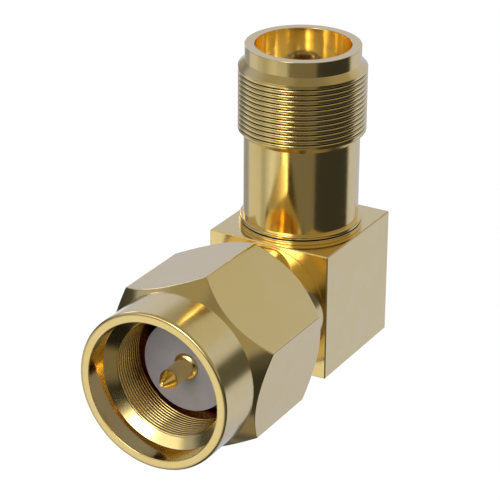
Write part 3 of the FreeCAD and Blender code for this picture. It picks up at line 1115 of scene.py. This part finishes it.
# Tints of the panels
COOL = (1.0, 1.09, 1.55)
CLEAR = (1.0, 1.02, 1.08)
WARM = (1.0, 0.93, 0.78)
ICY = (1.0, 1.1, 1.66)


def overhead_scrim(lay):
    """A pale scrim above, darker where the camera and its stand are."""
    lay(at=(0, 70), size=(360, 110), edge=30, strength=0.31, tint=WARM)
    lay(at=(50, 72), size=(110, 34), edge=30, strength=0.21, tint=WARM)


def left_wall(lay):
    """Cool sheets high and low on the left, with a gap between."""
    lay(at=(-82, 26), size=(70, 36), edge=16, strength=0.39, tint=COOL)
    lay(at=(-110, 14), size=(14, 26), edge=8, strength=0.21, tint=COOL)
    lay(at=(-86, -26), size=(30, 40), edge=14, strength=0.53, tint=COOL)
    lay(at=(-117, -24), size=(22, 40), edge=14, strength=0.3, tint=COOL)


def pale_table(lay):
    """The table in front, with a dim stripe and a bright patch."""
    lay(at=(-20, -36), size=(150, 34), edge=8, strength=0.58)
    lay(at=(-52, -22), size=(12, 60), edge=10, strength=0.38)
    lay(at=(-31, -27), size=(14, 12), edge=6, strength=0.79)


def back_wall(lay):
    """Two cool sheets behind the cube, a dim one high up and the brightest one low down."""
    lay(at=(-158, -6), size=(52, 82), edge=16, strength=0.5, tint=COOL)
    lay(at=(160, -6), size=(50, 80), edge=14, strength=0.5, tint=COOL)
    lay(at=(-165, 40), size=(40, 14), edge=12, strength=0.3)
    lay(at=(-146, -18), size=(22, 14), edge=8, strength=0.78)


def camera_side(lay):
    """The dim table before the camera and the black flag on the right."""
    lay(at=(28, -30), size=(58, 60), edge=8, strength=0.165, tint=WARM)
    lay(at=(94, -26), size=(78, 62), edge=5, strength=0.035)


def dark_horizon(lay):
    """A dark band at the horizon, on the left, in front, on the right and behind."""
    lay(at=(-104, -4), size=(30, 20), edge=8, strength=0.035)
    lay(at=(20, -3), size=(90, 24), edge=10, strength=0.1, tint=WARM)
    lay(at=(100, 0), size=(110, 15), edge=9, strength=0.07)
    lay(at=(20, -3), size=(38, 15), edge=6, strength=0.02)
    lay(at=(142, 2), size=(40, 22), edge=8, strength=0.09)
    lay(at=(-78, 1), size=(56, 18), edge=8, strength=0.06)


def dark_below(lay):
    """The floor straight below: dim, black in front of the plug, paler on the right."""
    lay(at=(0, -85), size=(360, 60), edge=40, strength=0.08, tint=COOL)
    lay(at=(5, -57), size=(60, 28), edge=6, strength=0.01)
    lay(at=(85, -74), size=(80, 32), edge=6, strength=0.22, tint=WARM)


def back_sheets(lay):
    """A clear sheet high behind, and two icy ones."""
    lay(at=(160, 36), size=(34, 16), edge=10, strength=0.47)
    lay(at=(-150, 21), size=(28, 20), edge=8, strength=0.525, tint=ICY)
    lay(at=(150, -25), size=(26, 22), edge=8, strength=0.525, tint=ICY)


def lamps(lay):
    """The lamp in front of the plug over its softer left wing, and one that the jack's mouth mirrors."""
    lay(at=(-27, 28), size=(32, 38), edge=8, strength=1.1)
    lay(at=(-3, 26), size=(24, 44), edge=8, strength=3.7)
    lay(at=(-129, 18), size=(14, 11), edge=4, strength=2.4)


# Laid in this order, because each panel covers what is under it
WALLS = (
    overhead_scrim,
    left_wall,
    pale_table,
    back_wall,
    camera_side,
    dark_horizon,
    dark_below,
    back_sheets,
    lamps,
)


def studio_light(studio):
    """Soft panels all round that only the object sees. The camera sees plain white."""
    world = bpy.data.worlds.new("studio")
    bpy.context.scene.world = world
    world.use_nodes = True
    tree = world.node_tree
    sky = sky_angles(tree)
    dim = 0.3
    light = (dim, dim, dim, 1)

    def lay(at, size, edge, strength, tint=CLEAR):
        nonlocal light
        light = softbox(tree, sky, light, at, size, edge, strength, tint)

    for wall in WALLS:
        wall(lay)
    background = tree.nodes["Background"]
    background.inputs["Strength"].default_value = studio.light
    link(tree, light, background.inputs["Color"])
    plain = node(tree, "ShaderNodeBackground")
    plain.inputs["Color"].default_value = (1, 1, 1, 1)
    seen = node(tree, "ShaderNodeLightPath")
    choose = node(tree, "ShaderNodeMixShader")
    link(tree, seen.outputs["Is Camera Ray"], choose.inputs["Fac"])
    link(tree, background.outputs[0], choose.inputs[1])
    link(tree, plain.outputs[0], choose.inputs[2])
    link(tree, choose.outputs[0], tree.nodes["World Output"].inputs["Surface"])


def floor_sheet(studio):
    """A wide pale floor just under the nut, lit so evenly that hardly a shadow shows."""
    made, _, shader = material_named("pale_floor")
    shader.inputs["Base Color"].default_value = (0.05, 0.05, 0.05, 1)
    shader.inputs["Roughness"].default_value = 0.9
    shader.inputs["Specular IOR Level"].default_value = 0.0
    shader.inputs["Emission Color"].default_value = (*studio.floor, 1)
    shader.inputs["Emission Strength"].default_value = 1.0
    half = 1.2
    gap = 0.02 * MM
    height = CAD_BOX[0][2] - gap
    mesh = bpy.data.meshes.new("floor")
    corners = [(-half, -half, height), (half, -half, height), (half, half, height), (-half, half, height)]
    mesh.from_pydata(corners, [], [(0, 1, 2, 3)])
    mesh.materials.append(made)
    floor = bpy.data.objects.new("floor", mesh)
    bpy.context.scene.collection.objects.link(floor)
    floor.visible_glossy = False
    floor.visible_diffuse = False
    floor.visible_shadow = False


def stand_camera(studio):
    """The camera, where the picture was taken from."""
    back = Vector((
        math.sin(studio.azimuth) * math.cos(studio.elevation),
        -math.cos(studio.azimuth) * math.cos(studio.elevation),
        math.sin(studio.elevation),
    ))
    level = Vector((math.cos(studio.azimuth), math.sin(studio.azimuth), 0))
    upright = back.cross(level)
    right = level * math.cos(studio.roll) + upright * math.sin(studio.roll)
    top = upright * math.cos(studio.roll) - level * math.sin(studio.roll)
    target = Vector((-studio.look_left, 0, studio.look_up))
    place = Matrix((right, top, back)).transposed().to_4x4()
    place.translation = target + back * studio.distance
    data = bpy.data.cameras.new("camera")
    data.lens = studio.lens
    data.sensor_width = 36.0
    data.clip_start = 1 * MM
    data.clip_end = 10.0
    camera = bpy.data.objects.new("camera", data)
    camera.matrix_world = place
    bpy.context.scene.collection.objects.link(camera)
    bpy.context.scene.camera = camera


class ADAPTER_OT_studio(bpy.types.Operator):
    """Set up the floor, the soft light and the camera"""

    bl_idname = "adapter.studio"
    bl_label = "Studio"
    bl_options = {"REGISTER", "UNDO"}

    def execute(self, context):
        studio = context.scene.adapter_studio
        studio_light(studio)
        floor_sheet(studio)
        stand_camera(studio)
        context.scene.view_settings.view_transform = "Standard"
        context.scene.cycles.max_bounces = 16
        context.scene.cycles.glossy_bounces = 14
        return {"FINISHED"}


PIECES = (
    ADAPTER_OT_block,
    ADAPTER_OT_jack_barrel,
    ADAPTER_OT_plug_shell,
    ADAPTER_OT_coupling_nut,
    ADAPTER_OT_contacts,
    ADAPTER_OT_insulators,
    ADAPTER_OT_gasket,
    ADAPTER_OT_closures,
)

GROUPS = {
    "adapter_core": AdapterCore,
    "adapter_jack": AdapterJack,
    "adapter_plug": AdapterPlug,
    "adapter_nut": AdapterNut,
    "adapter_finish": AdapterFinish,
    "adapter_studio": AdapterStudio,
}


class ADAPTER_PT_panel(bpy.types.Panel):
    """The adapter's pieces, sizes and finishes"""

    bl_idname = "ADAPTER_PT_panel"
    bl_label = "Coax adapter"
    bl_space_type = "VIEW_3D"
    bl_region_type = "UI"
    bl_category = "Adapter"

    def draw(self, context):
        for operator in (*PIECES, ADAPTER_OT_studio):
            self.layout.operator(operator.bl_idname)
        for group_name in GROUPS:
            box = self.layout.box()
            group = getattr(context.scene, group_name)
            for name in group.__annotations__:
                box.prop(group, name)


CLASSES = (*GROUPS.values(), *PIECES, ADAPTER_OT_studio, ADAPTER_PT_panel)


def register():
    """Make the classes known to Blender and give the scene their properties."""
    for made in CLASSES:
        bpy.utils.register_class(made)
    for name, group in GROUPS.items():
        setattr(bpy.types.Scene, name, PointerProperty(type=group))


def unregister():
    """Undo what register did."""
    for name in GROUPS:
        delattr(bpy.types.Scene, name)
    for made in reversed(CLASSES):
        bpy.utils.unregister_class(made)


def main():
    """Build the pieces and the studio."""
    register()
    bpy.ops.adapter.block()
    bpy.ops.adapter.jack_barrel()
    bpy.ops.adapter.plug_shell()
    bpy.ops.adapter.coupling_nut()
    bpy.ops.adapter.contacts()
    bpy.ops.adapter.insulators()
    bpy.ops.adapter.gasket()
    bpy.ops.adapter.closures()
    bpy.ops.adapter.studio()


if __name__ == "__main__":
    main()
